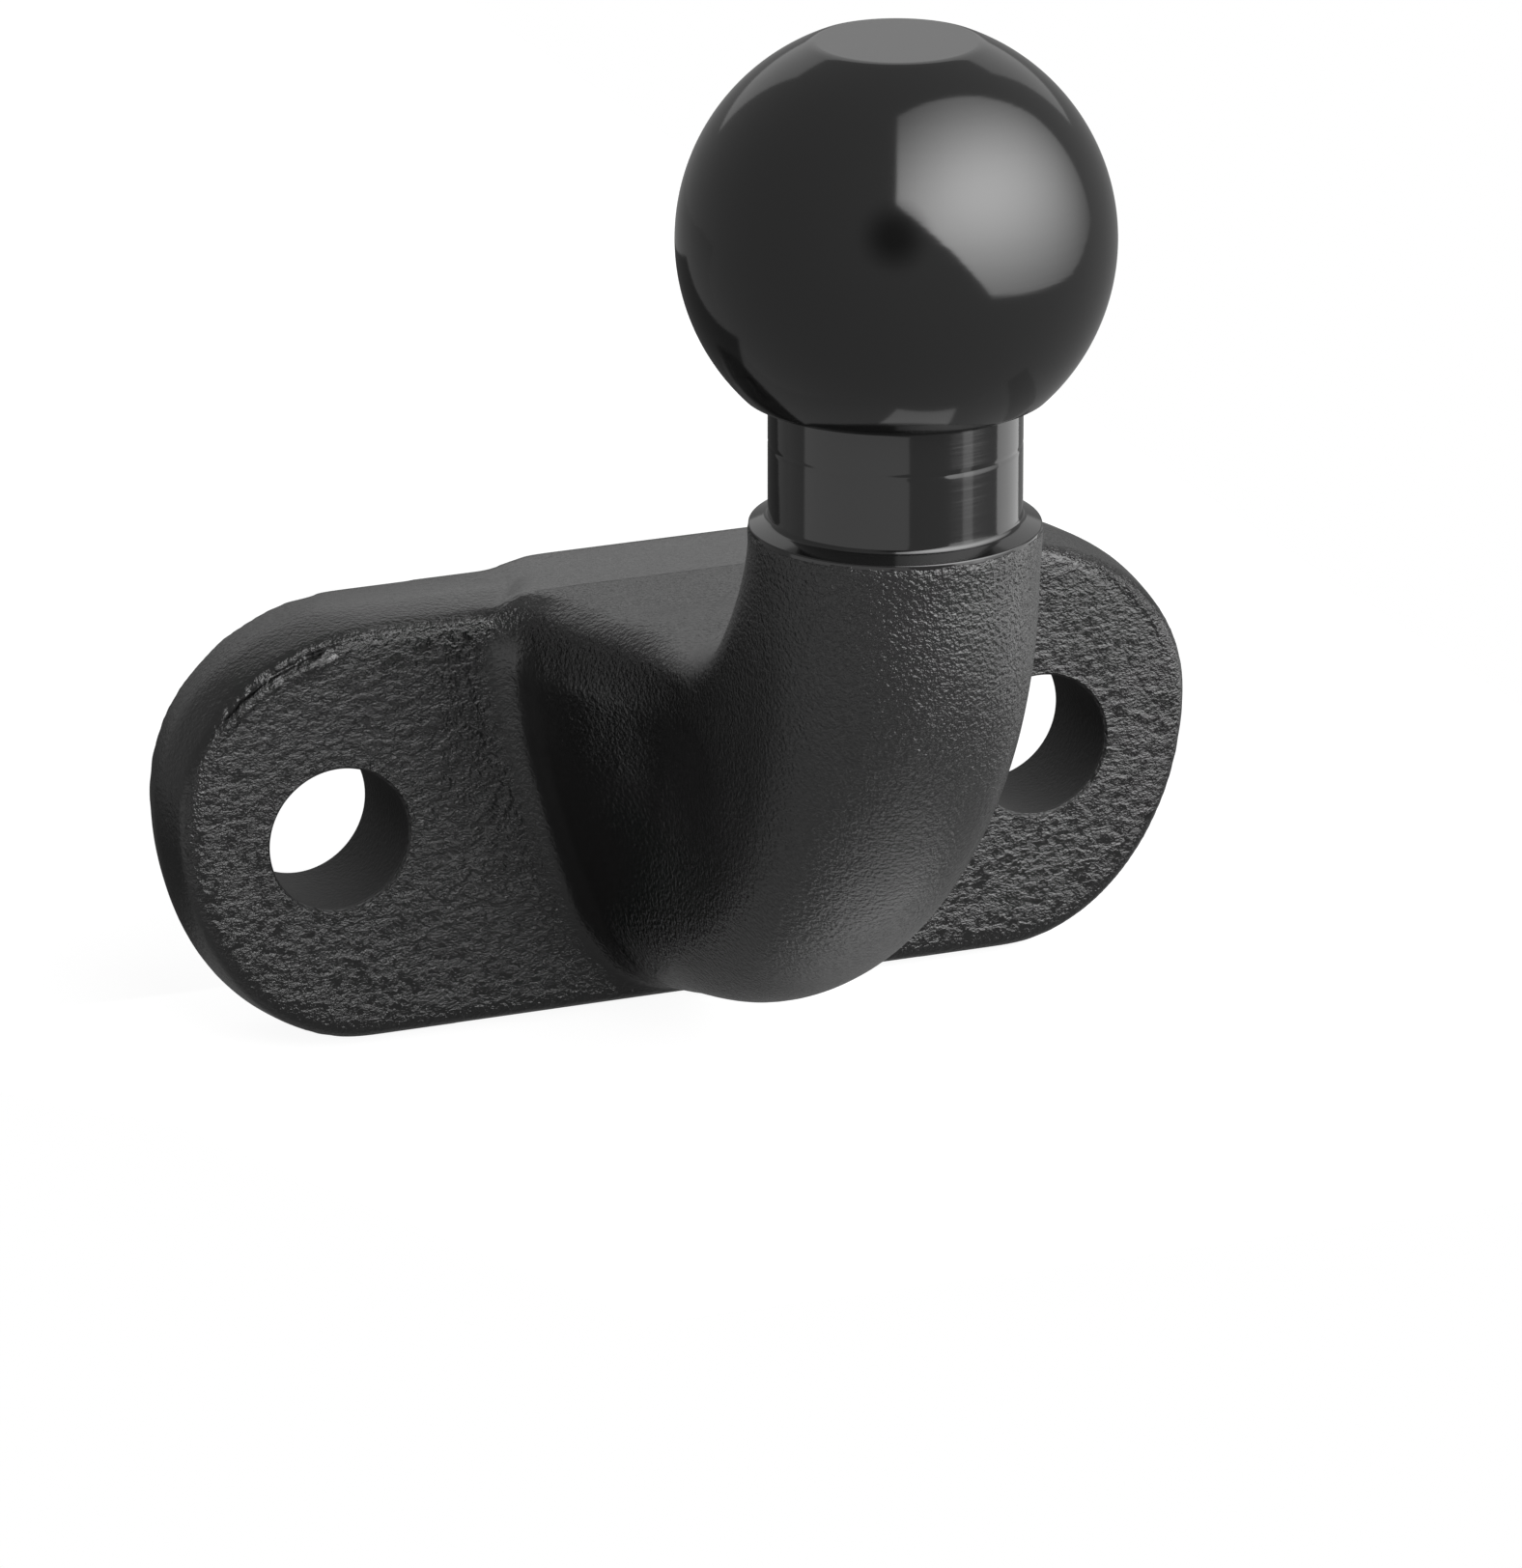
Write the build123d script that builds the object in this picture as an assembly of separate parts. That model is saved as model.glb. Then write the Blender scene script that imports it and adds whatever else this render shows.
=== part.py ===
"""Swan neck tow ball: one steel forging with a 50 mm coupling ball on a neck and a two-bolt flange.

Frame, in millimetres: the origin is the middle of the two bolt holes on the mounting face.
The mounting face is the plane Y = 0 and faces +Y, X runs along the line of the bolt holes and
Z points up, along the axis of the ball. The neck and the ball stand on the -Y side.
"""

from build123d import *
from math import acos, atan2, cos, hypot, pi, sin, sqrt
import os

# Coupling ball and machined neck
BALL_DIAMETER = 50.0
BALL_HEIGHT = 85.0          # ball centre above the line of the bolt holes
BALL_REACH = 75.0           # ball axis in front of the mounting face
BALL_TOP_FLAT = 19.2        # diameter of the flat on top of the ball
BALL_UNDERCUT = 18.0        # the ball is cut flat this far below its centre
NECK_DIAMETER = 29.0
SHOULDER_DIAMETER = 33.7
SHOULDER_HEIGHT = 50.4      # height at which the shoulder reaches its full diameter
SHOULDER_RISE = 2.7         # height of the shoulder blend

# Flange
HOLE_SPACING = 90.0
HOLE_DIAMETER = 17.5        # medium clearance hole for M16
FLANGE_THICKNESS = 15.0
FLANGE_LENGTH = 131.0       # at the parting line
FLANGE_HEIGHT = 52.8        # at the parting line
WIDEST_ABOVE_HOLES = 4.2    # the ends are widest a little above the hole line
TOP_CORNER = 25.5           # corner sizes along X; their heights follow from the outline
BOTTOM_CORNER = 24.5
PARTING_DEPTH = 7.5
REAR_DRAFT = 0.4            # how far top and bottom come in at the mounting face
REAR_DRAFT_ENDS = 2.0       # how far the ends come in at the mounting face
FRONT_DRAFT = 0.92          # how far the outline comes in at the front face
RIM_RADIUS = 2.0
BORE_EDGE = 0.3             # broken edge at both ends of each bolt hole

# Forged neck and web
BODY_RADIUS = 16.6          # round part just below the shoulder
WEB_TOP = 27.5              # height of the flat top of the web
INNER_RUN = 22.4            # how far the inner curve runs back from the neck to the flat web top
INNER_RISE = 21.0           # how far above the web top that curve begins
OUTER_RUN = 43.0            # the same for the outer curve under the elbow
OUTER_DROP = 57.2
WEB_RUN = 12.5              # straight part of the web in front of the flange
WEB_UNDERSIDE = 24.5        # depth of the underside of the web below the hole line
WEB_HALF_WIDTH = 18.2       # at the top, just before the web spreads into the flange
WEB_EDGE = 3.0              # rounding of the long top edges of the web
WEB_FOOT = 12.2             # rounding of the underside of the web
WEB_BLEND = 4.0             # size of the hollow where the web runs out into the flange
WEB_CREST = 27.6            # half width of the low crest that crosses the flange top
CREST_ROUNDING = 12.0
MOUNT_EDGE = 0.5            # the crest stops this far short of the mounting face

FLANGE_FRONT = -FLANGE_THICKNESS
BALL_RADIUS = BALL_DIAMETER / 2
NECK_RADIUS = NECK_DIAMETER / 2
SHOULDER_RADIUS = SHOULDER_DIAMETER / 2


def flange_outline(y, inset, end_inset):
    """Closed outline of the flange on the plane Y = y, drawn inwards by the given insets."""
    half_length = FLANGE_LENGTH / 2 - end_inset
    half_height = FLANGE_HEIGHT / 2 - inset
    top = TOP_CORNER - end_inset
    bottom = BOTTOM_CORNER - end_inset
    rise = half_height - WIDEST_ABOVE_HOLES
    drop = half_height + WIDEST_ABOVE_HOLES
    plane = Plane(origin=(0, y, 0), x_dir=(1, 0, 0), z_dir=(0, -1, 0))
    with BuildSketch(plane) as sketch:
        with BuildLine():
            xt = half_length - top
            xb = half_length - bottom
            z0 = WIDEST_ABOVE_HOLES
            Line((-xt, half_height), (xt, half_height))
            EllipticalCenterArc((xt, z0), top, rise, start_angle=0, arc_size=90)
            EllipticalCenterArc((xb, z0), bottom, drop, start_angle=270, arc_size=90)
            Line((xb, -half_height), (-xb, -half_height))
            EllipticalCenterArc((-xb, z0), bottom, drop, start_angle=180, arc_size=90)
            EllipticalCenterArc((-xt, z0), top, rise, start_angle=90, arc_size=90)
        make_face()
    return sketch.sketch.faces()[0]


def half_section(height, half_top, corner, foot, count):
    """Points of the right half of a section, from its foot (0, 0) up to the top middle (0, height).

    The section is the outline round three circles: two in the top corners and one at the foot.
    """
    cx = half_top - corner
    cz = height - corner
    dx = cx
    dz = cz - foot
    span = hypot(dx, dz)
    if span < 1e-6:
        lean = 0.0
    else:
        lean = atan2(dz, dx) - acos((foot - corner) / span)
    path = []
    steps = 60
    for i in range(steps + 1):
        a = -pi / 2 + (lean + pi / 2) * i / steps
        path.append((foot * cos(a), foot + foot * sin(a), a))
    for i in range(steps + 1):
        a = lean + (pi / 2 - lean) * i / steps
        path.append((cx + corner * cos(a), cz + corner * sin(a), a))
    path.append((0.0, height, pi / 2))
    # points are spread evenly over a mix of length and turning, so the corners keep their shape
    marks = [0.0]
    length = 0.0
    for p, q in zip(path, path[1:]):
        length += hypot(q[0] - p[0], q[1] - p[1])
    for p, q in zip(path, path[1:]):
        step = hypot(q[0] - p[0], q[1] - p[1]) / length + (q[2] - p[2]) / pi
        marks.append(marks[-1] + step)
    points = []
    k = 0
    for i in range(count + 1):
        want = marks[-1] * i / count
        while k < len(marks) - 2 and marks[k + 1] < want:
            k += 1
        gap = marks[k + 1] - marks[k]
        t = 0.0 if gap == 0 else (want - marks[k]) / gap
        p = path[k]
        q = path[k + 1]
        points.append((p[0] + (q[0] - p[0]) * t, p[1] + (q[1] - p[1]) * t))
    return points


def web_section(inner, outer, half_top, corner, foot, count=16):
    """Closed section of the forged body between an inner and an outer point of its side view."""
    height = hypot(inner[0] - outer[0], inner[1] - outer[1])
    uy = (inner[0] - outer[0]) / height
    uz = (inner[1] - outer[1]) / height
    half = half_section(height, half_top, corner, foot, count)
    right = [Vector(x, outer[0] + uy * v, outer[1] + uz * v) for x, v in half]
    left = [Vector(-p.X, p.Y, p.Z) for p in reversed(right)]
    spots = [i / count for i in range(count + 1)]
    foot_pull = Vector(half[1][0] * count, 0, 0)
    top_pull = Vector(-half[-2][0] * count, 0, 0)
    right_edge = Edge.make_spline(right, [foot_pull, top_pull], parameters=spots, scale=False)
    left_edge = Edge.make_spline(left, [top_pull, foot_pull], parameters=spots, scale=False)
    return Face(Wire([right_edge, left_edge]))


# Ball, neck and shoulder: one turned profile
top_z = BALL_HEIGHT + sqrt(BALL_RADIUS**2 - (BALL_TOP_FLAT / 2) ** 2)
cut_z = BALL_HEIGHT - BALL_UNDERCUT
cut_r = sqrt(BALL_RADIUS**2 - BALL_UNDERCUT**2)
rise_z = SHOULDER_HEIGHT + SHOULDER_RISE
step = SHOULDER_RADIUS - NECK_RADIUS
mid_r = NECK_RADIUS + step * 0.42
mid_z = SHOULDER_HEIGHT + SHOULDER_RISE * 0.5
lower_z = SHOULDER_HEIGHT - 1.2
with BuildPart() as turned:
    with BuildSketch(Plane.XZ):
        with BuildLine():
            Line((0, lower_z), (0, top_z))
            Line((0, top_z), (BALL_TOP_FLAT / 2, top_z))
            ThreePointArc(
                (BALL_TOP_FLAT / 2, top_z),
                (BALL_RADIUS, BALL_HEIGHT),
                (cut_r, cut_z),
            )
            Line((cut_r, cut_z), (NECK_RADIUS, cut_z))
            Line((NECK_RADIUS, cut_z), (NECK_RADIUS, rise_z))
            Spline(
                (NECK_RADIUS, rise_z),
                (mid_r, mid_z),
                (SHOULDER_RADIUS, SHOULDER_HEIGHT),
                tangents=[(0, -1), (0, -1)],
            )
            Line((SHOULDER_RADIUS, SHOULDER_HEIGHT), (SHOULDER_RADIUS - 0.9, lower_z))
            Line((SHOULDER_RADIUS - 0.9, lower_z), (0, lower_z))
        make_face()
    revolve(axis=Axis.Z)
turned_part = turned.part.moved(Location((0, -BALL_REACH, 0)))

# Forged body: sections from the round neck, round the elbow, into the web and the flange
axis_y = -BALL_REACH
rear_y = axis_y + BODY_RADIUS
front_y = axis_y - BODY_RADIUS
neck_z = SHOULDER_HEIGHT + 1.1
elbow_stations = [
    # shares: inner run, inner rise, outer run, outer drop; then half width, corner and foot
    # as shares of the body radius
    (0.000, 1.000, 0.000, 0.087, 1.000, 0.955, 0.993),
    (0.036, 0.690, 0.023, 0.306, 0.994, 0.750, 0.970),
    (0.156, 0.381, 0.116, 0.524, 0.970, 0.530, 0.934),
    (0.384, 0.138, 0.337, 0.785, 0.928, 0.380, 0.880),
    (0.670, 0.024, 0.640, 1.000, 0.892, 0.270, 0.815),
    (1.000, 0.000, 1.000, 1.159, 0.886, 0.210, 0.760),
]
web_stations = [
    # shares: run in front of the flange at the top and at the underside, underside;
    # then what the hollow adds to half width, corner and foot
    (1.000, 1.320, 0.841, -0.55, 0.00, 0.000),
    (0.640, 0.680, 0.922, -0.28, 0.00, 0.075),
    (0.360, 0.360, 0.959, 0.00, 0.10, 0.225),
    (0.176, 0.176, 0.980, 0.55, 0.35, 0.475),
    (0.064, 0.064, 0.992, 1.45, 0.75, 0.850),
    (-0.048, -0.048, 1.000, 2.55, 1.35, 1.200),
]
round_neck = web_section(
    (rear_y, neck_z), (front_y, neck_z), BODY_RADIUS, BODY_RADIUS, BODY_RADIUS
)
elbow_sections = [round_neck]
for in_run, in_rise, out_run, out_drop, width, corner, foot in elbow_stations:
    inner = (rear_y + in_run * INNER_RUN, WEB_TOP + in_rise * INNER_RISE)
    outer = (front_y + out_run * OUTER_RUN, neck_z - out_drop * OUTER_DROP)
    sizes = (width * BODY_RADIUS, corner * BODY_RADIUS, foot * BODY_RADIUS)
    elbow_sections.append(web_section(inner, outer, *sizes))
root_sections = []
for top_run, foot_run, under, width, corner, foot in web_stations:
    inner = (FLANGE_FRONT - top_run * WEB_RUN, WEB_TOP)
    outer = (FLANGE_FRONT - foot_run * WEB_RUN, -under * WEB_UNDERSIDE)
    half_width = WEB_HALF_WIDTH + width * WEB_BLEND
    round_top = WEB_EDGE + corner * WEB_BLEND
    round_foot = WEB_FOOT + foot * WEB_BLEND
    root_sections.append(web_section(inner, outer, half_width, round_top, round_foot))
for y, width in ((-PARTING_DEPTH, WEB_CREST), (-MOUNT_EDGE, WEB_CREST - 2 * MOUNT_EDGE)):
    inner = (y, WEB_TOP)
    outer = (y, -WEB_UNDERSIDE)
    root_sections.append(web_section(inner, outer, width, CREST_ROUNDING, round_foot))
elbow = loft(elbow_sections + root_sections[:2])
root = loft(root_sections[1:], ruled=True)
body = elbow + root

# Flange: two drafted halves that meet at the parting line
rear_half = loft(
    [
        flange_outline(0.0, REAR_DRAFT, REAR_DRAFT_ENDS),
        flange_outline(-PARTING_DEPTH, 0.0, 0.0),
    ],
    ruled=True,
)
front_half = loft(
    [
        flange_outline(-PARTING_DEPTH, 0.0, 0.0),
        flange_outline(FLANGE_FRONT, FRONT_DRAFT, FRONT_DRAFT),
    ],
    ruled=True,
)
rim = [e for e in front_half.edges() if abs(e.center().Y - FLANGE_FRONT) < 1e-4]
front_half = fillet(rim, RIM_RADIUS)
flange = rear_half + front_half

tow_ball = flange + body + turned_part

# Bolt holes, with a small broken edge on both faces
hole_radius = HOLE_DIAMETER / 2
flare = FLANGE_THICKNESS / 5
with BuildPart() as drill:
    with BuildSketch(Plane.XZ):
        with BuildLine():
            Polyline(
                (0, flare),
                (hole_radius + BORE_EDGE + flare, flare),
                (hole_radius, -BORE_EDGE),
                (hole_radius, BORE_EDGE - FLANGE_THICKNESS),
                (hole_radius + BORE_EDGE + flare, -FLANGE_THICKNESS - flare),
                (0, -FLANGE_THICKNESS - flare),
                close=True,
            )
        make_face()
    revolve(axis=Axis.Z)
for x in (-HOLE_SPACING / 2, HOLE_SPACING / 2):
    tow_ball -= Location((x, 0, 0), (-90, 0, 0)) * drill.part

solid = tow_ball.solids()
print("solids", len(solid), "volume", round(tow_ball.volume), "valid", tow_ball.is_valid)
box = tow_ball.bounding_box()
print("size", box.min, box.max)

os.makedirs("parts", exist_ok=True)
export_step(solid[0], "parts/tow_ball.step")
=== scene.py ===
"""Looks for the swan neck tow ball: gloss black paint over a turned ball and neck and a forged body."""

import math

import bmesh
import bpy
from mathutils import Matrix, Vector, noise


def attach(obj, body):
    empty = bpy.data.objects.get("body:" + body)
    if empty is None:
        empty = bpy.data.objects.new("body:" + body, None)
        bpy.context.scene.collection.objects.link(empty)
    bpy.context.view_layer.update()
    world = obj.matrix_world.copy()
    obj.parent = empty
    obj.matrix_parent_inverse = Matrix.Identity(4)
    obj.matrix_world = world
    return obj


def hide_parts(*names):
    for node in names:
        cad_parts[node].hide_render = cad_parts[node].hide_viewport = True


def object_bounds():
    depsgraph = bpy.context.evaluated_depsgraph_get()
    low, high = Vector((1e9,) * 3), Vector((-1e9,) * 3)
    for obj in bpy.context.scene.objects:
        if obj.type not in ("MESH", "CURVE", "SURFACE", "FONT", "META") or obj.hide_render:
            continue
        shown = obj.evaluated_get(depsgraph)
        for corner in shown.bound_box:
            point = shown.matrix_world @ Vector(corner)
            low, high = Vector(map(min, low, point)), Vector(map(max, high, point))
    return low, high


MM = 0.001
WHITE = (1, 1, 1, 1)

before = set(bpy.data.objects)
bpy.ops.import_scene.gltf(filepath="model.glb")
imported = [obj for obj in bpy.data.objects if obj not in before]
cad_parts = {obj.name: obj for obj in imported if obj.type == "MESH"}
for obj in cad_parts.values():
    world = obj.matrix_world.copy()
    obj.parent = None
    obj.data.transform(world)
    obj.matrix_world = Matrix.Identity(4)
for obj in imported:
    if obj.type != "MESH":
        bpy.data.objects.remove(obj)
cad_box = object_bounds()
cad_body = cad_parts["tow_ball"]

# Sizes of the part, in metres
BALL_AXIS_Y = -0.075
BALL_CENTRE_Z = 0.085
BALL_RADIUS = 0.02499
TOP_FLAT_RADIUS = 0.0096
UNDERCUT = 0.018
NECK_RADIUS = 0.0145
SHOULDER_RADIUS = 0.01685
STEP_Z = 0.0516
STEP_FALL = 19.0
HOLE_X = 0.045
HOLE_RADIUS = 0.00875
FLANGE_FRONT = -0.015
SPLIT_Z = 0.0496
TURNED_STEPS = 192


def finished_piece(bm, name):
    """Turn a bmesh into an object of its own in the scene."""
    mesh = bpy.data.meshes.new(name)
    bm.to_mesh(mesh)
    bm.free()
    piece = bpy.data.objects.new(name, mesh)
    bpy.context.scene.collection.objects.link(piece)
    return piece


def turned_profile(points, steps, axis_y=0.0):
    """Spin a profile of (radius, height) points round an upright axis into a closed shell."""
    bm = bmesh.new()
    ring = [bm.verts.new((r, 0.0, z)) for r, z in points]
    edges = [bm.edges.new(pair) for pair in zip(ring, ring[1:])]
    bmesh.ops.spin(
        bm,
        geom=ring + edges,
        cent=(0, 0, 0),
        axis=(0, 0, 1),
        angle=2 * math.pi,
        steps=steps,
        use_merge=True,
    )
    bmesh.ops.remove_doubles(bm, verts=bm.verts, dist=1e-6)
    bmesh.ops.recalc_face_normals(bm, faces=bm.faces)
    bmesh.ops.translate(bm, verts=bm.verts, vec=(0, axis_y, 0))
    return bm


def arc(centre_r, centre_z, radius, start, end, steps):
    """Points of an arc in the profile plane; angles in degrees from the outward direction."""
    out = []
    for i in range(steps + 1):
        a = math.radians(start + (end - start) * i / steps)
        out.append((centre_r + radius * math.cos(a), centre_z + radius * math.sin(a)))
    return out


def share(value):
    """Hold a value between 0 and 1."""
    return max(0.0, min(1.0, value))


# Turned ball, with lightly broken edges at its top flat and at its undercut
top_angle = math.degrees(math.acos(TOP_FLAT_RADIUS / BALL_RADIUS))
cut_angle = -math.degrees(math.asin(UNDERCUT / BALL_RADIUS))
top_z = BALL_CENTRE_Z + BALL_RADIUS * math.sin(math.radians(top_angle))
cut_z = BALL_CENTRE_Z - UNDERCUT
edge = 0.00025
profile = [(0.0, top_z), (TOP_FLAT_RADIUS - 2 * edge, top_z), (TOP_FLAT_RADIUS - edge, top_z)]
profile += arc(0.0, BALL_CENTRE_Z, BALL_RADIUS, top_angle - 0.9, cut_angle + 1.0, 96)
cut_r = BALL_RADIUS * math.cos(math.radians(cut_angle))
profile += [(cut_r - edge, cut_z), (cut_r - 2 * edge, cut_z), (NECK_RADIUS, cut_z), (0.0, cut_z)]
ball = finished_piece(turned_profile(profile, TURNED_STEPS, axis_y=BALL_AXIS_Y), "ball")

# Turned neck: a fillet under the ball, a fine tool mark half way down, then the sloping shoulder
root_fillet = 0.0008
into_ball = 0.0002
profile = [(0.0, cut_z + into_ball), (NECK_RADIUS + root_fillet, cut_z + into_ball)]
profile += arc(NECK_RADIUS + root_fillet, cut_z - root_fillet, root_fillet, 90, 180, 4)
groove_z = 0.0612
groove = 0.00003
profile += [
    (NECK_RADIUS, cut_z - 0.0011),
    (NECK_RADIUS, groove_z + 0.0006),
    (NECK_RADIUS, groove_z + 0.0003),
    (NECK_RADIUS - groove, groove_z + 0.0001),
    (NECK_RADIUS - groove, groove_z - 0.0001),
    (NECK_RADIUS, groove_z - 0.0003),
    (NECK_RADIUS, groove_z - 0.0006),
    (NECK_RADIUS, 0.0536),
    (NECK_RADIUS, 0.0533),
]
step_edge = SHOULDER_RADIUS - 0.00025
step_fillet = 0.0007
step_fall = math.radians(STEP_FALL)
flat_start = NECK_RADIUS + step_fillet * (1 - math.sin(step_fall))
flat_start_z = STEP_Z + (step_edge - flat_start) * math.tan(step_fall)
fillet_z = flat_start_z + step_fillet * math.cos(step_fall)
profile += arc(NECK_RADIUS + step_fillet, fillet_z, step_fillet, 180, 270 - STEP_FALL, 8)
profile += arc(step_edge - 0.0001, STEP_Z - 0.0002, 0.0002, 90 - STEP_FALL, 0, 4)
profile += [(step_edge + 0.0001, STEP_Z - 0.0006), (SHOULDER_RADIUS - 0.0012, 0.0500), (0.0, 0.0500)]
neck = finished_piece(turned_profile(profile, TURNED_STEPS, axis_y=BALL_AXIS_Y), "neck")

# Forged body: the solid's own shape, remeshed evenly so its hollows and edges run smoothly
PLUG_OVERLAP = 0.0005
COLLAR_LOW_RADIUS = 0.01655
COLLAR_DEPTH = 0.0055


def forged_mesh():
    """The solid below the shoulder, with its bolt holes plugged and a collar under the shoulder."""
    bm = bmesh.new()
    bm.from_mesh(cad_body.data)
    bmesh.ops.remove_doubles(bm, verts=bm.verts, dist=1e-6)
    cut = bmesh.ops.bisect_plane(
        bm,
        geom=bm.verts[:] + bm.edges[:] + bm.faces[:],
        plane_co=(0, 0, SPLIT_Z),
        plane_no=(0, 0, 1),
        clear_outer=True,
    )
    rim = [g for g in cut["geom_cut"] if isinstance(g, bmesh.types.BMEdge)]
    bmesh.ops.holes_fill(bm, edges=rim)
    for side in (-1, 1):
        turn = Matrix.Rotation(math.pi / 2, 4, "X")
        place = Matrix.Translation((side * HOLE_X, FLANGE_FRONT / 2, 0)) @ turn
        bmesh.ops.create_cone(
            bm,
            cap_ends=True,
            segments=48,
            radius1=HOLE_RADIUS + PLUG_OVERLAP,
            radius2=HOLE_RADIUS + PLUG_OVERLAP,
            depth=-FLANGE_FRONT,
            matrix=place,
        )
    bmesh.ops.create_cone(
        bm,
        cap_ends=True,
        segments=96,
        radius1=COLLAR_LOW_RADIUS,
        radius2=SHOULDER_RADIUS + 0.00005,
        depth=COLLAR_DEPTH,
        matrix=Matrix.Translation((0, BALL_AXIS_Y, STEP_Z - 0.0001 - COLLAR_DEPTH / 2)),
    )
    bmesh.ops.triangulate(bm, faces=bm.faces)
    return bm


def apply_modifiers(piece):
    """Bake a piece's modifiers into its mesh."""
    graph = bpy.context.evaluated_depsgraph_get()
    baked = bpy.data.meshes.new_from_object(piece.evaluated_get(graph))
    piece.modifiers.clear()
    piece.data = baked


def even_mesh(piece):
    """Remesh a closed piece into small even faces."""
    remesh = piece.modifiers.new("even", "REMESH")
    remesh.mode = "VOXEL"
    remesh.voxel_size = 0.7 * MM
    remesh.adaptivity = 0.0
    apply_modifiers(piece)


# The web swells sideways from behind the elbow to its root, then falls back in a tight hollow
WEB_TOP_Z = 0.0275
WEB_FOOT_Z = -0.016
FOOT_RUN = 0.026
TOP_ROUNDING = 0.0085
SWELL = 0.0053
SWELL_START = -0.0470
SWELL_FULL = -0.0195
HOLLOW = ((-0.0195, 1.0), (-0.0172, 0.68), (-0.0158, 0.25), (-0.0148, 0.0))


def root_swell(y):
    """How far the web's side moves out, by depth in front of the mounting face."""
    if y <= SWELL_START:
        return 0.0
    if y < SWELL_FULL:
        t = (y - SWELL_START) / (SWELL_FULL - SWELL_START)
        return SWELL * t * t * (3 - 2 * t)
    for (y0, share0), (y1, share1) in zip(HOLLOW, HOLLOW[1:]):
        if y <= y1:
            return SWELL * (share0 + (share1 - share0) * (y - y0) / (y1 - y0))
    return 0.0


def swell_web(piece):
    """Broaden the web below its flat top, with a wide rounding, into a tight hollow at the flange."""
    bm = bmesh.new()
    bm.from_mesh(piece.data)
    for vert in bm.verts:
        co = vert.co
        under_top = share((WEB_TOP_Z - co.z) / TOP_ROUNDING) ** 0.5
        above_foot = share((co.z - WEB_FOOT_Z) / FOOT_RUN) ** 0.6
        off_middle = share((abs(co.x) - 0.008) / 0.006)
        push = root_swell(co.y) * under_top * above_foot * off_middle
        co.x += math.copysign(push, co.x)
    bm.to_mesh(piece.data)
    bm.free()


forging = finished_piece(forged_mesh(), "forged_body")
even_mesh(forging)
swell_web(forging)
even_mesh(forging)

# Smoothing of the remeshed skin; behind this depth points only move within their own plane
REAR_BAND = -0.0012


def below_shoulder(co):
    """Whether a point lies below the turned shoulder, whose edge stays crisp."""
    return co.z < STEP_Z - 0.0011


def near_root(co):
    """Whether a point lies in the hollow between web and flange."""
    across = share((0.036 - abs(co.x)) / 0.006)
    along = share((-0.0125 - co.y) / 0.002) * share((co.y + 0.032) / 0.008)
    below = share((0.0235 - co.z) / 0.001)
    return across * along * below > 0.5


def on_rim(co):
    """Whether a point lies on the flange's rounded ends, behind their front edge."""
    return abs(co.x) > 0.030 and co.y > -0.0130


def relax(piece, rounds, chooses):
    """Smooth the chosen points; those near the mounting face keep their depth."""
    bm = bmesh.new()
    bm.from_mesh(piece.data)
    chosen = [v for v in bm.verts if chooses(v.co)]
    rear = [v for v in chosen if v.co.y > REAR_BAND]
    front = [v for v in chosen if v.co.y <= REAR_BAND]
    for _ in range(rounds):
        bmesh.ops.smooth_vert(
            bm, verts=front, factor=0.5, use_axis_x=True, use_axis_y=True, use_axis_z=True
        )
        bmesh.ops.smooth_vert(
            bm, verts=rear, factor=0.5, use_axis_x=True, use_axis_y=False, use_axis_z=True
        )
    for vert in rear:
        vert.co.y = min(vert.co.y, -0.000001)
    bm.to_mesh(piece.data)
    bm.free()


relax(forging, 4, below_shoulder)
relax(forging, 2, near_root)
relax(forging, 6, on_rim)

# Trim scar: a groove with a low ridge under it, where flash was ground off the left front rim
SCAR_REACH = 0.0024
SCAR_DEPTH = 0.00065
SCAR_WIDTH = 0.00055
RIDGE_HEIGHT = 0.00028
RIDGE_WIDTH = 0.0005
SCAR = (
    (-0.0602, 0.0156),
    (-0.0572, 0.0187),
    (-0.0530, 0.0212),
    (-0.0486, 0.0229),
    (-0.0450, 0.0236),
)


def scar_distance(co):
    """Distance from the scar's line, and how far along it, 0 to 1."""
    best = (1.0, 0.0)
    spans = len(SCAR) - 1
    for i in range(spans):
        a = Vector(SCAR[i])
        b = Vector(SCAR[i + 1])
        point = Vector((co.x, co.z))
        t = share((point - a).dot(b - a) / (b - a).length_squared)
        gap = point - (a + (b - a) * t)
        if gap.length < abs(best[0]):
            sign = 1.0 if gap.dot(Vector((-1, 1))) > 0 else -1.0
            best = (sign * gap.length, (i + t) / spans)
    return best


def by_scar(co):
    """Whether a point of the left front rim lies within the scar's reach."""
    on_front_rim = co.x < -0.040 and co.z > 0.010 and co.y < -0.0105
    return on_front_rim and abs(scar_distance(co)[0]) < SCAR_REACH


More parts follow.
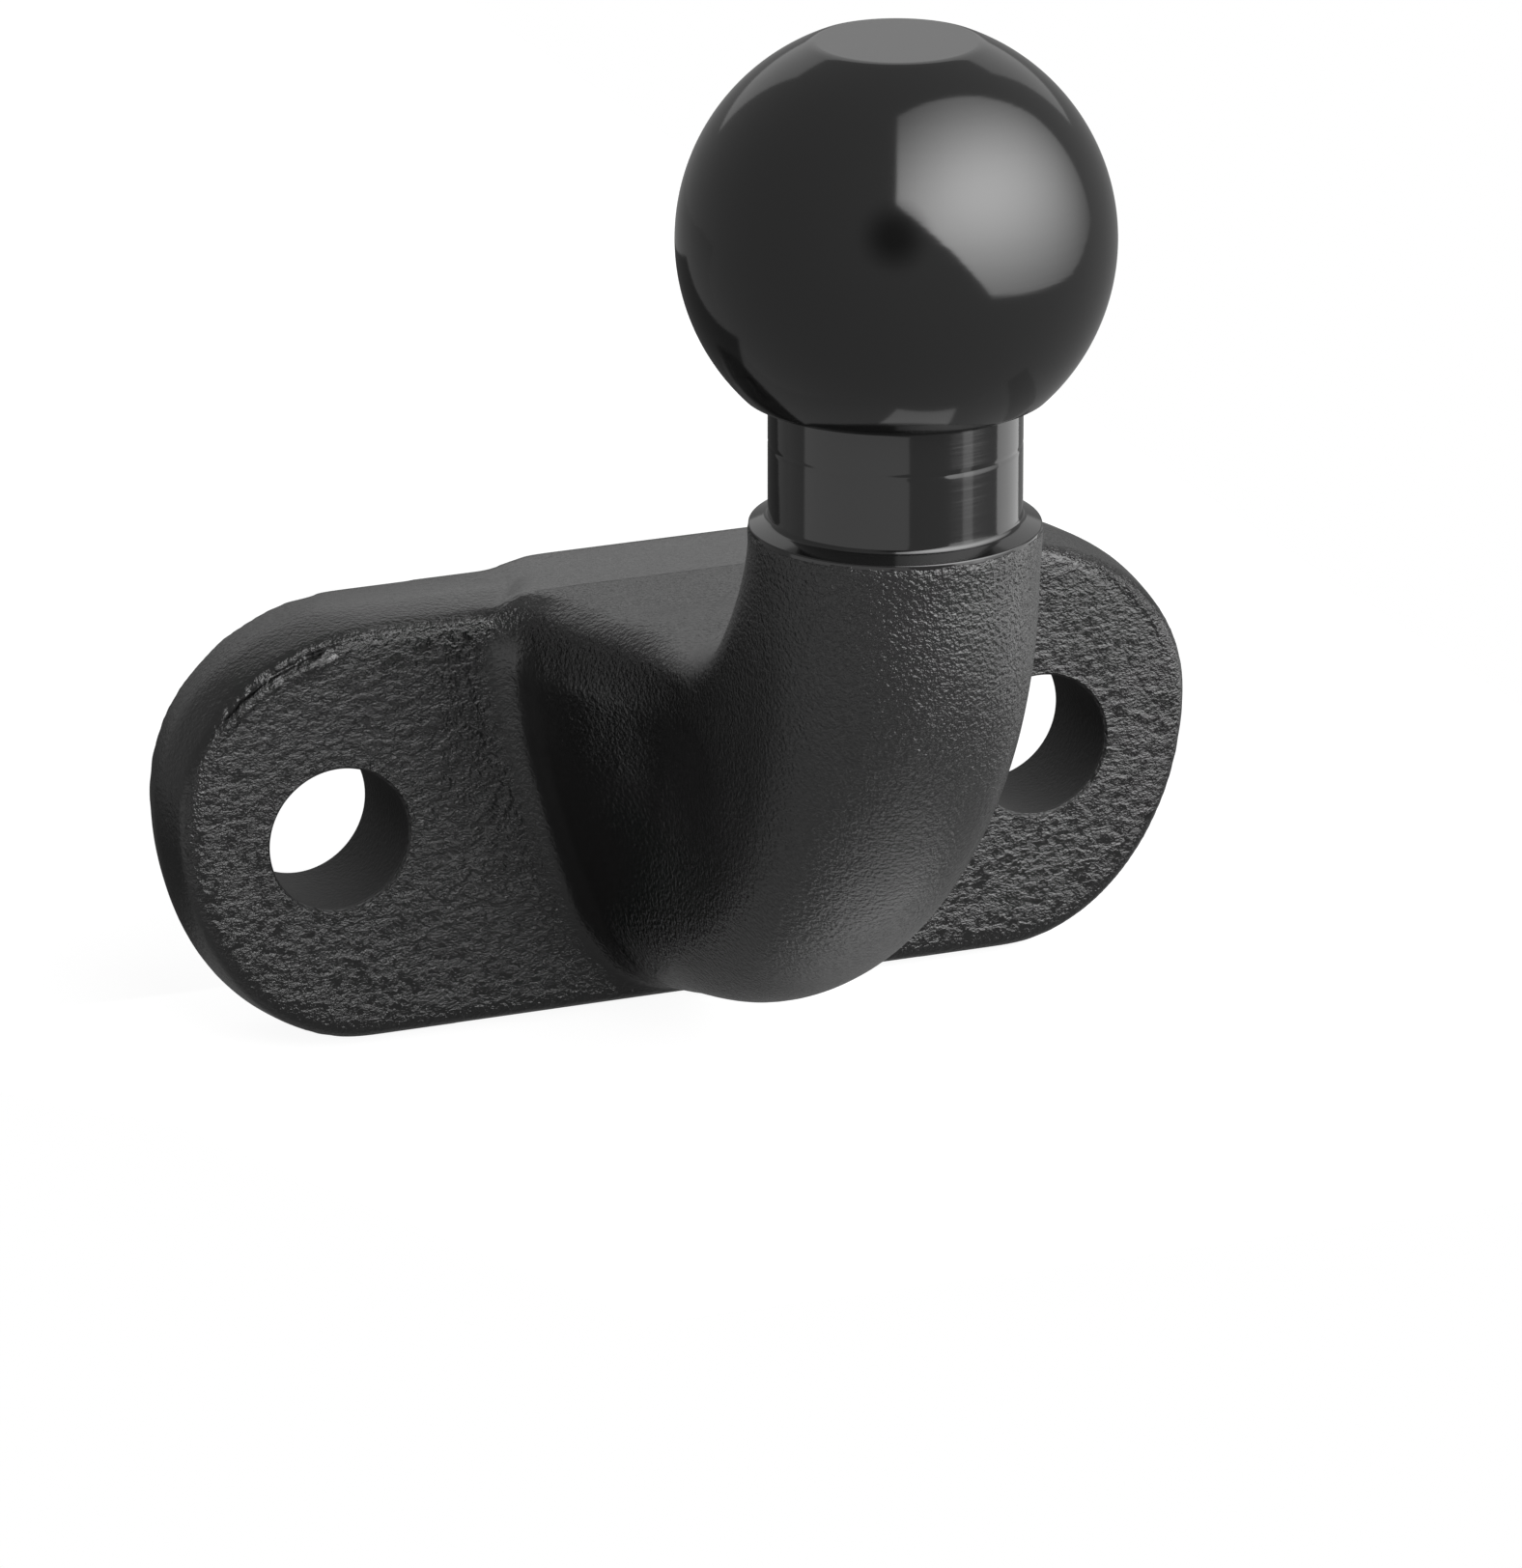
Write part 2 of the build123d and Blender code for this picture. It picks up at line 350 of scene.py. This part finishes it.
def carve_scar(piece):
    """Refine the mesh along the scar, then press the groove in and raise the ridge."""
    bm = bmesh.new()
    bm.from_mesh(piece.data)
    for _ in range(2):
        close = [e for e in bm.edges if by_scar((e.verts[0].co + e.verts[1].co) / 2)]
        bmesh.ops.subdivide_edges(bm, edges=close, cuts=1, use_grid_fill=True)
    bm.normal_update()
    bm.verts.index_update()
    outward = {vert.index: vert.normal.copy() for vert in bm.verts}
    for vert in [v for v in bm.verts if by_scar(v.co)]:
        gap, along = scar_distance(vert.co)
        ends = min(1.0, along * 6.0) * min(1.0, (1.0 - along) * 5.0 + 0.15)
        wobble = 1.0 + 0.5 * noise.noise(vert.co * 900.0)
        sunk = math.exp(-((gap - 0.0002) / SCAR_WIDTH) ** 2) * SCAR_DEPTH
        raised = math.exp(-((gap + 0.0011) / RIDGE_WIDTH) ** 2) * RIDGE_HEIGHT
        vert.co -= outward[vert.index] * ((sunk - raised * wobble) * ends * wobble)
    bm.to_mesh(piece.data)
    bm.free()


carve_scar(forging)


# Bolt holes: bored through after forging, with a small broken edge on both faces
def bore_cutter(side):
    """A drill-shaped cutter for the hole on one side, -1 or 1."""
    break_edge = 0.0003
    over = 0.003
    points = [
        (0.0, over),
        (HOLE_RADIUS + break_edge + over, over),
        (HOLE_RADIUS, -break_edge),
        (HOLE_RADIUS, FLANGE_FRONT + break_edge),
        (HOLE_RADIUS + break_edge + over, FLANGE_FRONT - over),
        (0.0, FLANGE_FRONT - over),
    ]
    bm = turned_profile(points, 128)
    bmesh.ops.rotate(
        bm, verts=bm.verts, cent=(0, 0, 0), matrix=Matrix.Rotation(-math.pi / 2, 3, "X")
    )
    bmesh.ops.translate(bm, verts=bm.verts, vec=(side * HOLE_X, 0, 0))
    return bm


for side in (-1, 1):
    cutter = finished_piece(bore_cutter(side), "bore_cutter")
    cut = forging.modifiers.new("bore", "BOOLEAN")
    cut.operation = "DIFFERENCE"
    cut.solver = "EXACT"
    cut.object = cutter
    apply_modifiers(forging)
    bpy.data.objects.remove(cutter, do_unlink=True)

for piece in (ball, neck, forging):
    for face in piece.data.polygons:
        face.use_smooth = True
    piece.data.set_sharp_from_angle(angle=math.radians(38))
    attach(piece, "root")
    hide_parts("tow_ball")


# Materials
class Socket:
    """A shader socket that takes part in arithmetic."""

    def __init__(self, shader, socket):
        self.shader = shader
        self.socket = socket

    def _math(self, operation, *values):
        return self.shader.node("ShaderNodeMath", {"operation": operation}, values)

    def __add__(self, other):
        return self._math("ADD", self, other)

    __radd__ = __add__

    def __sub__(self, other):
        return self._math("SUBTRACT", self, other)

    def __rsub__(self, other):
        return self._math("SUBTRACT", other, self)

    def __mul__(self, other):
        return self._math("MULTIPLY", self, other)

    __rmul__ = __mul__

    def __truediv__(self, other):
        return self._math("DIVIDE", self, other)

    def __rtruediv__(self, other):
        return self._math("DIVIDE", other, self)

    def clamp(self, low, high):
        return self._math("MINIMUM", self._math("MAXIMUM", self, low), high)


class Paint:
    """The node tree of one material, or of the world given as its owner."""

    def __init__(self, name, owner=None):
        self.material = owner or bpy.data.materials.new(name)
        self.material.use_nodes = True
        self.nodes = self.material.node_tree.nodes
        self.links = self.material.node_tree.links
        self.nodes.clear()

    def node(self, kind, settings=None, values=(), output=0):
        """Make a node: its settings first, then its sockets by position or by name."""
        made = self.nodes.new(kind)
        for key, value in (settings or {}).items():
            setattr(made, key, value)
        pairs = values.items() if isinstance(values, dict) else enumerate(values)
        for key, value in pairs:
            if isinstance(value, Socket):
                self.links.new(value.socket, made.inputs[key])
            else:
                made.inputs[key].default_value = value
        return Socket(self, made.outputs[output])

    def place(self):
        """Where on the part a point lies, in metres."""
        return self.node("ShaderNodeTexCoord", output="Object")

    def noise(self, size_mm, detail=2.0, roughness=0.5, stretch=(1, 1, 1)):
        """Noise with features of about the given size, 0 to 1."""
        spot = self.node(
            "ShaderNodeMapping", {"vector_type": "POINT"}, {0: self.place(), 3: stretch}
        )
        return self.node(
            "ShaderNodeTexNoise",
            {"noise_dimensions": "3D"},
            {"Vector": spot, "Scale": 1000.0 / size_mm, "Detail": detail, "Roughness": roughness},
        )

    def bump(self, height, depth_mm, strength=1.0, under=None):
        """Relief of the given depth, laid over an earlier relief if there is one."""
        values = {"Height": height, "Distance": depth_mm * MM, "Strength": strength}
        if under is not None:
            values["Normal"] = under
        return self.node("ShaderNodeBump", {}, values)

    def finish(self, **values):
        """Close the material with a surface whose sockets take the given values."""
        shader = self.nodes.new("ShaderNodeBsdfPrincipled")
        for key, value in values.items():
            socket = shader.inputs[key.replace("_", " ")]
            if isinstance(value, Socket):
                self.links.new(value.socket, socket)
            else:
                socket.default_value = value
        self.output("ShaderNodeOutputMaterial", Socket(self, shader.outputs[0]))
        return self.material

    def output(self, kind, shader):
        self.links.new(shader.socket, self.nodes.new(kind).inputs[0])


PAINT_IOR = 1.7


def machined_paint():
    """Gloss black over turned steel: faint turning marks under a slightly uneven coat."""
    paint = Paint("machined_black_paint")
    flow = paint.noise(9.0, detail=1.0)
    turning = paint.noise(2.2, detail=2.0, stretch=(0.12, 0.12, 3.0))
    normal = paint.bump(turning, 0.010, 0.5)
    normal = paint.bump(flow, 0.05, 0.4, under=normal)
    rough = flow * 0.04 + 0.08
    black = (0.007, 0.007, 0.007, 1)
    return paint.finish(Base_Color=black, Roughness=rough, Normal=normal, IOR=PAINT_IOR)


def ramp(paint, value, start, end):
    """Smooth step from 0 at start to 1 at end, whichever of the two is higher."""
    rising = start < end
    span = {"Value": value, "From Min": min(start, end), "From Max": max(start, end)}
    step = paint.node("ShaderNodeMapRange", {"interpolation_type": "SMOOTHSTEP"}, span)
    return step if rising else 1.0 - step


# The flange's cheeks end in a rounded outline: where it starts to curve, its reach and its half height
CHEEK_END_X = 0.0405
CHEEK_END_REACH = 0.0245
CHEEK_MIDDLE_Z = 0.0008
CHEEK_HALF_HEIGHT = 0.0262


def forged_paint():
    """Gloss black over forged skin: pebbled cheeks, smooth hollows and web sides, peel elsewhere;
    painted light and shade in the base colour.
    """
    paint = Paint("forged_black_paint")
    x, y, z = [paint.node("ShaderNodeSeparateXYZ", {}, (paint.place(),), axis) for axis in "XYZ"]
    side = paint.node("ShaderNodeMath", {"operation": "ABSOLUTE"}, (x,))
    # how far out on the flange's face a point lies; about 1 at its outline
    end_run = (side - CHEEK_END_X).clamp(0.0, 1.0) * (1 / CHEEK_END_REACH)
    height = (z - CHEEK_MIDDLE_Z) * (1 / CHEEK_HALF_HEIGHT)
    spread = end_run * end_run + height * height
    # cheeks: the flange's front face, as far in as the hollow at the web, which leans with height
    cheek = ramp(paint, y, -0.0144, -0.0148) * ramp(paint, y, -0.0160, -0.0151)
    cheek = cheek * ramp(paint, spread, 0.88, 0.78)
    cheek = cheek * ramp(paint, side - z * 0.237, 0.0208, 0.0224)
    # lip: the rough upper edge of the cheeks
    lip = ramp(paint, spread, 0.80, 0.88) * ramp(paint, spread, 1.02, 0.94)
    lip = lip * ramp(paint, z, 0.010, 0.018) * ramp(paint, side, 0.0270, 0.0290)
    lip = lip * ramp(paint, y, -0.0135, -0.0142) * ramp(paint, y, -0.0170, -0.0160)
    # the other regions: hollow beside the cheeks, web top and sides, flange rim, elbow and bores
    hollow = ramp(paint, y, -0.0148, -0.0156) * ramp(paint, y, -0.0215, -0.0195)
    hollow = hollow * ramp(paint, z, 0.0240, 0.0210)
    web_top = ramp(paint, z, 0.0255, 0.0266) * ramp(paint, y, -0.0560, -0.0480)
    web_side = ramp(paint, y, -0.0150, -0.0200) * ramp(paint, y, -0.0600, -0.0480)
    web_side = web_side * ramp(paint, side, 0.0120, 0.0150) * ramp(paint, z, 0.0225, 0.0180)
    rim = ramp(paint, y, -0.0146, -0.0141)
    elbow = ramp(paint, y, -0.030, -0.055)
    across = side - HOLE_X
    bore = ramp(paint, across * across + z * z, 0.00910**2, 0.00895**2)
    bore = bore * ramp(paint, y, -0.0152, -0.0149)
    # pebbled cheeks: flat-topped grains with narrow furrows, running slightly along the part
    grains = paint.noise(1.4, detail=4.0, roughness=0.65, stretch=(0.8, 1, 1.15))
    furrow = paint.noise(0.6, detail=2.0, roughness=0.6)
    cheek_height = (ramp(paint, grains, 0.38, 0.62) + furrow * 0.8) * cheek
    # fine orange peel elsewhere: strongest on the lip, weak on the web's sides, hollow and rim
    peel = paint.noise(0.55, detail=2.0, roughness=0.6)
    peel_height = peel * (1.0 - web_side * 0.75) * (1.0 - web_top * 0.45) * (1.0 + lip * 1.2)
    peel_height = peel_height * (1.0 - hollow * 0.6) * (1.0 - rim * 0.6) * (1.0 - cheek)
    swell = paint.noise(7.0, detail=1.0)
    normal = paint.bump(swell, 0.22, 0.5)
    normal = paint.bump(peel_height, 0.38, 1.0, under=normal)
    normal = paint.bump(cheek_height, 0.135, 1.0, under=normal)
    # the bores are dull; the base colour is black paint with painted light and shade laid on region by
    # region
    rough = swell * 0.05 + 0.12 - cheek * 0.03 + bore * 0.40 + elbow * 0.05 - lip * 0.03
    rough = rough + rim * ramp(paint, side, 0.022, 0.042) * 0.12
    # painted highlight on the web's top, painted reflection in the hollow, web sides and elbow painted
    # lighter, painted shade on the cheeks
    black_and_painted_light = 0.005 + web_side * 0.002 + elbow * 0.005 + hollow * 0.012 - cheek * 0.002 + web_top * 0.02
    black_and_painted_light_colour = paint.node("ShaderNodeCombineXYZ", {}, (black_and_painted_light, black_and_painted_light, black_and_painted_light))
    return paint.finish(Base_Color=black_and_painted_light_colour, Roughness=rough, Normal=normal, IOR=PAINT_IOR)


turned_finish = machined_paint()
forged_finish = forged_paint()
for piece, finish in ((ball, turned_finish), (neck, turned_finish), (forging, forged_finish)):
    piece.data.materials.clear()
    piece.data.materials.append(finish)

# Floor: a white table top that keeps the part's shadow, cut so as not to hide the low lights
bm = bmesh.new()
TABLE = (
    (-0.045, -0.110),
    (0.10, -0.115),
    (0.14, 0.0),
    (0.14, 0.70),
    (-0.60, 0.70),
    (-0.60, 0.45),
    (-0.22, 0.15),
    (-0.072, -0.030),
)
bm.faces.new([bm.verts.new((x, y, cad_box[0].z - 0.0002)) for x, y in TABLE])
floor = finished_piece(bm, "floor")

STUDIO_LEVEL = 0.27
FLOOR_SHARE = 0.18


def background_share(paint):
    """1 for camera and transmission rays; black paint mirrors only a share of the background."""
    rays = "ShaderNodeLightPath"
    camera_ray = paint.node(rays, output="Is Camera Ray")
    glossy_ray = paint.node(rays, output="Is Glossy Ray")
    transmission_ray = paint.node(rays, output="Is Transmission Ray")
    return (camera_ray + glossy_ray * FLOOR_SHARE + transmission_ray).clamp(0.0, 1.0)


def white_floor():
    """White to the camera with the part's shadow on it, dim as a source of light."""
    paint = Paint("white_floor")
    lit = paint.node("ShaderNodeBsdfDiffuse", {}, {"Color": (0.2, 0.2, 0.2, 1)})
    glow = paint.node("ShaderNodeEmission", {}, {"Color": WHITE, "Strength": 0.93})
    white = paint.node("ShaderNodeAddShader", {}, (lit, glow))
    dim = paint.node("ShaderNodeBsdfDiffuse", {}, {"Color": (0.06, 0.06, 0.06, 1)})
    seen = paint.node("ShaderNodeMixShader", {}, (background_share(paint), dim, white))
    paint.output("ShaderNodeOutputMaterial", seen)
    return paint.material


floor.data.materials.append(white_floor())

# World: an even studio, seen as white by the camera
world = bpy.data.worlds.new("studio")
bpy.context.scene.world = world
sky = Paint("studio", world)
studio = sky.node("ShaderNodeBackground", {}, {"Color": WHITE, "Strength": STUDIO_LEVEL})
backdrop = sky.node("ShaderNodeBackground", {}, {"Color": WHITE, "Strength": 1.0})
camera_ray = sky.node("ShaderNodeLightPath", output="Is Camera Ray")
transmission_ray = sky.node("ShaderNodeLightPath", output="Is Transmission Ray")
seen_white = (camera_ray + transmission_ray).clamp(0, 1)
seen = sky.node("ShaderNodeMixShader", {}, (seen_white, studio, backdrop))
sky.output("ShaderNodeOutputWorld", seen)

# Light cards, cut to the outline that the ball mirrors in the photograph
AIM = Vector((0.0, BALL_AXIS_Y, BALL_CENTRE_Z))
CARD_DISTANCE = 1.3
FLAG_DISTANCE = 1.2
LAMP_DISTANCE = 1.25
KEY_OUTLINE = (
    (-23.5, 33.7),
    (27.0, -16.5),
    (80.0, -15.0),
    (99.0, -4.0),
    (103.0, 30.0),
    (95.0, 62.0),
    (-20.0, 82.0),
)
BACK_OUTLINE = ((122, 8), (194, 8), (194, 38), (122, 38))


def direction(azimuth, elevation):
    """Unit vector; azimuth 0 looks along -Y and grows towards +X, in degrees."""
    a = math.radians(azimuth)
    e = math.radians(elevation)
    return Vector((math.sin(a) * math.cos(e), -math.cos(a) * math.cos(e), math.sin(e)))


def studio_piece(bm, name, paint, shader):
    """Put a card in the scene that only shows in reflections, with its own surface."""
    piece = finished_piece(bm, name)
    piece.visible_camera = False
    piece.visible_shadow = False
    paint.output("ShaderNodeOutputMaterial", shader)
    piece.data.materials.append(paint.material)


def card(name, middle, corners, strength, glow_middle, fall_off):
    """A flat card facing the ball; its glow falls off sideways and upright by the two given rates."""
    axis = direction(*middle)
    bm = bmesh.new()
    outline = []
    for corner in corners:
        ray = direction(*corner)
        outline.append(bm.verts.new(AIM + ray * (CARD_DISTANCE / ray.dot(axis))))
    bm.faces.new(outline)
    paint = Paint(name)
    glow_ray = direction(*glow_middle)
    spot = AIM + glow_ray * (CARD_DISTANCE / glow_ray.dot(axis))
    sideways, upright = (rate / CARD_DISTANCE for rate in fall_off)
    rates = (sideways, sideways, upright)
    vector = "ShaderNodeVectorMath"
    offset = paint.node(vector, {"operation": "SUBTRACT"}, (paint.place(), spot), "Vector")
    offset = paint.node(vector, {"operation": "MULTIPLY"}, (offset, rates), "Vector")
    away = paint.node(vector, {"operation": "LENGTH"}, (offset,), "Value")
    level = strength / (1.0 + away * away)
    glow = paint.node("ShaderNodeEmission", {}, {"Color": WHITE, "Strength": level})
    studio_piece(bm, name, paint, glow)


card("key_card", (28.0, 25.0), KEY_OUTLINE, 5.5, (30.0, 31.0), (0.95, 1.5))
card("back_card", (157.0, 20.0), BACK_OUTLINE, 0.70, (157.0, 20.0), (0.3, 0.3))


def soft_spot(name, middle, radius):
    """A round black flag with a soft edge, radius in degrees."""
    bm = bmesh.new()
    reach = FLAG_DISTANCE * math.tan(math.radians(radius))
    bmesh.ops.create_circle(bm, cap_ends=True, segments=48, radius=reach)
    place = AIM + direction(*middle) * FLAG_DISTANCE
    turn = (AIM - place).to_track_quat("Z", "Y").to_matrix().to_4x4()
    bmesh.ops.transform(bm, matrix=Matrix.Translation(place) @ turn, verts=bm.verts)
    paint = Paint(name)
    vector = "ShaderNodeVectorMath"
    away = paint.node(vector, {"operation": "DISTANCE"}, (paint.place(), place), "Value")
    black = paint.node("ShaderNodeEmission", {}, {"Color": (0, 0, 0, 1), "Strength": 0.0})
    clear = paint.node("ShaderNodeBsdfTransparent")
    veil = ramp(paint, away, reach, reach * 0.15)
    flag = paint.node("ShaderNodeMixShader", {}, (veil, clear, black))
    studio_piece(bm, name, paint, flag)


soft_spot("dark_flag", (-24.0, 17.0), 22.0)

# Low lamps, for the neck and the forging alone
shaded = bpy.data.collections.new("below_the_ball")
for piece in (neck, forging):
    shaded.objects.link(piece)


def low_lamp(name, middle, wide, tall, radiance):
    """A flat lamp that lights only the neck and the forging; sizes in degrees seen from the ball."""
    data = bpy.data.lights.new(name, "AREA")
    data.shape = "RECTANGLE"
    data.size = 2 * LAMP_DISTANCE * math.tan(math.radians(wide / 2))
    data.size_y = 2 * LAMP_DISTANCE * math.tan(math.radians(tall / 2))
    data.energy = radiance * math.pi * data.size * data.size_y
    lamp = bpy.data.objects.new(name, data)
    bpy.context.scene.collection.objects.link(lamp)
    lamp.location = AIM + direction(*middle) * LAMP_DISTANCE
    lamp.rotation_mode = "QUATERNION"
    lamp.rotation_quaternion = (AIM - lamp.location).to_track_quat("-Z", "Y")
    lamp.visible_camera = False
    lamp.light_linking.receiver_collection = shaded


low_lamp("low_strip", (45.0, -18.0), 10, 18, 0.62)
low_lamp("low_lamp", (102.0, -21.0), 40, 26, 1.15)
low_lamp("fill_lamp", (-62.0, -19.0), 96, 26, 0.38)


def ground_card(name, low, high, strength):
    """A card lying just above the floor, for reflections only."""
    bm = bmesh.new()
    z = cad_box[0].z + 0.0003
    corners = ((low[0], low[1]), (high[0], low[1]), (high[0], high[1]), (low[0], high[1]))
    bm.faces.new([bm.verts.new((x, y, z)) for x, y in corners])
    paint = Paint(name)
    glow = paint.node("ShaderNodeEmission", {}, {"Color": WHITE, "Strength": strength})
    studio_piece(bm, name, paint, glow)


ground_card("dark_cloth", (-0.13, 0.012), (0.10, 0.30), 0.07)
ground_card("under_card", (-0.012, -0.105), (0.030, -0.050), 0.8)
ground_card("right_bounce", (0.075, -0.115), (0.10, -0.010), 0.20)

# Camera at the photograph's viewing angle
LOOK_AZIMUTH = math.radians(-22.800)
LOOK_ELEVATION = math.radians(18.947)
LOOK_FROM = Vector((-0.54063, -1.32180, 0.48649))
right = Vector((math.cos(LOOK_AZIMUTH), math.sin(LOOK_AZIMUTH), 0))
back = Vector(
    (
        math.sin(LOOK_AZIMUTH) * math.cos(LOOK_ELEVATION),
        -math.cos(LOOK_AZIMUTH) * math.cos(LOOK_ELEVATION),
        math.sin(LOOK_ELEVATION),
    )
)
up = back.cross(right)
camera_data = bpy.data.cameras.new("camera")
camera = bpy.data.objects.new("camera", camera_data)
bpy.context.scene.collection.objects.link(camera)
bpy.context.scene.camera = camera
camera_data.sensor_width = 36.0
camera_data.lens = 288.5
camera_data.clip_start = 0.05
camera_data.clip_end = 50.0
camera.location = LOOK_FROM
camera.rotation_mode = "QUATERNION"
camera.rotation_quaternion = Matrix((right, up, back)).transposed().to_quaternion()

bpy.context.scene.view_settings.view_transform = "Standard"
